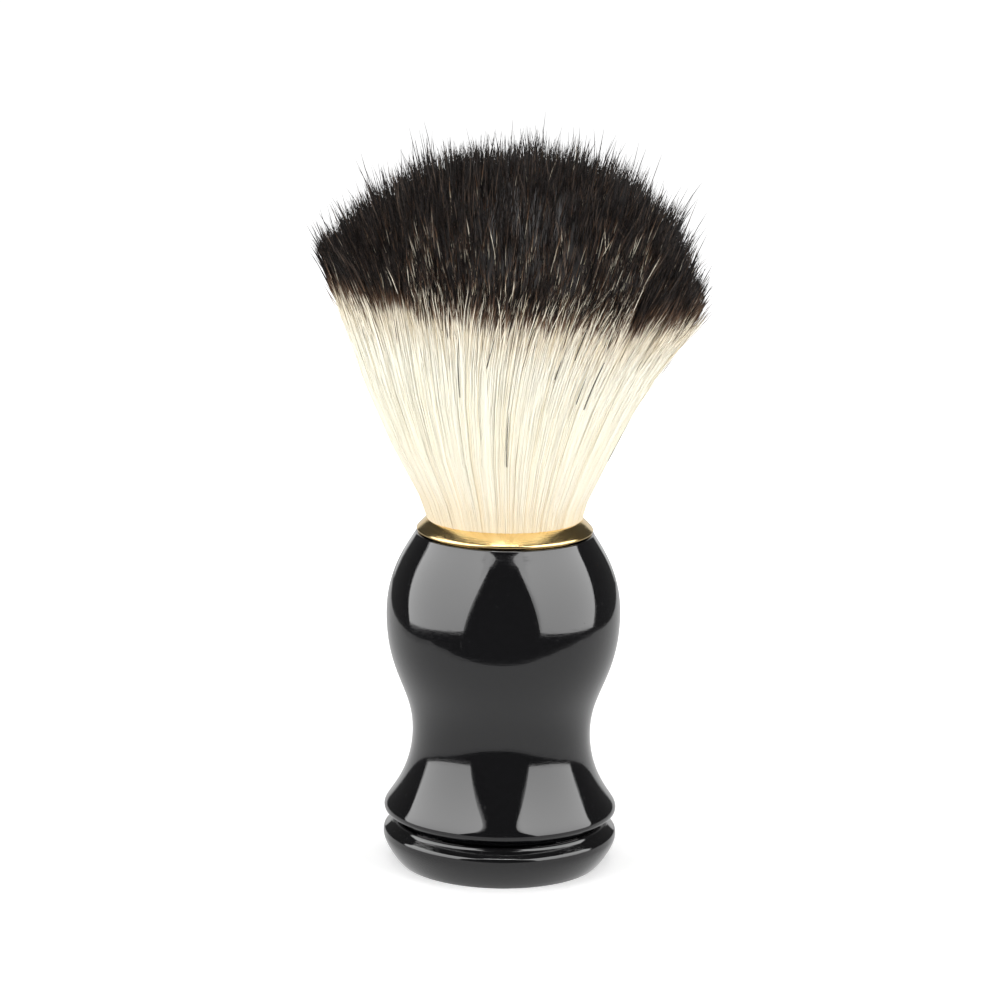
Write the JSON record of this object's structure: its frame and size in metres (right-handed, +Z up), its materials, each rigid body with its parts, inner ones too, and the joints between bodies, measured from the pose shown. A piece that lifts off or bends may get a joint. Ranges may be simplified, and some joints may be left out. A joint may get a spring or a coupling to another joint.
{
  "type": "shaving brush",
  "caption": "Free-standing shaving brush: turned gloss black handle with a waist and grooved foot, gold-plated collar and a fanned knot of cream bristles with black tips.",
  "frame": {"origin": "centre of the flat underside of the foot, on the handle's axis", "axes": "+Z up along the handle's axis, from the foot to the bristles; +X to the side that the bristle fan leans to; -Y faces the viewer"},
  "size_m": [0.0566, 0.0566, 0.1074],
  "materials": {
    "black_resin": "polished high gloss",
    "gold_plate": "polished gold-coloured plating",
    "steel_weight": "plain turned",
    "cup_plastic": "moulded",
    "root_glue": "cured amber epoxy",
    "bed_glue": "cured clear epoxy",
    "waxed_thread": "waxed thread, close wound",
    "bristle_roots": "packed nylon fibre",
    "bristles": "fine tapered nylon fibre, cream with dyed black tips"
  },
  "bodies": {
    "handle": {"handle_body": "black_resin", "base_foot": "black_resin", "handle_weight": "steel_weight", "collar_ring": "gold_plate", "knot_cup": "cup_plastic", "socket_adhesive": "bed_glue", "root_glue_plug": "root_glue", "binding_thread": "waxed_thread", "bristle_roots": "bristle_roots"},
    "bristles": {"bristle_fan": "bristles"}
  },
  "joints": [
    {"name": "bristle_flex", "type": "hinge", "parent": "handle", "child": "bristles", "pos_m": [0, 0, 0.05165], "axis": [0, 1, 0], "range_deg": [-25, 25], "stiffness_Nm_per_rad": 0.08, "deforming": ["bristle_fan"]}
  ]
}
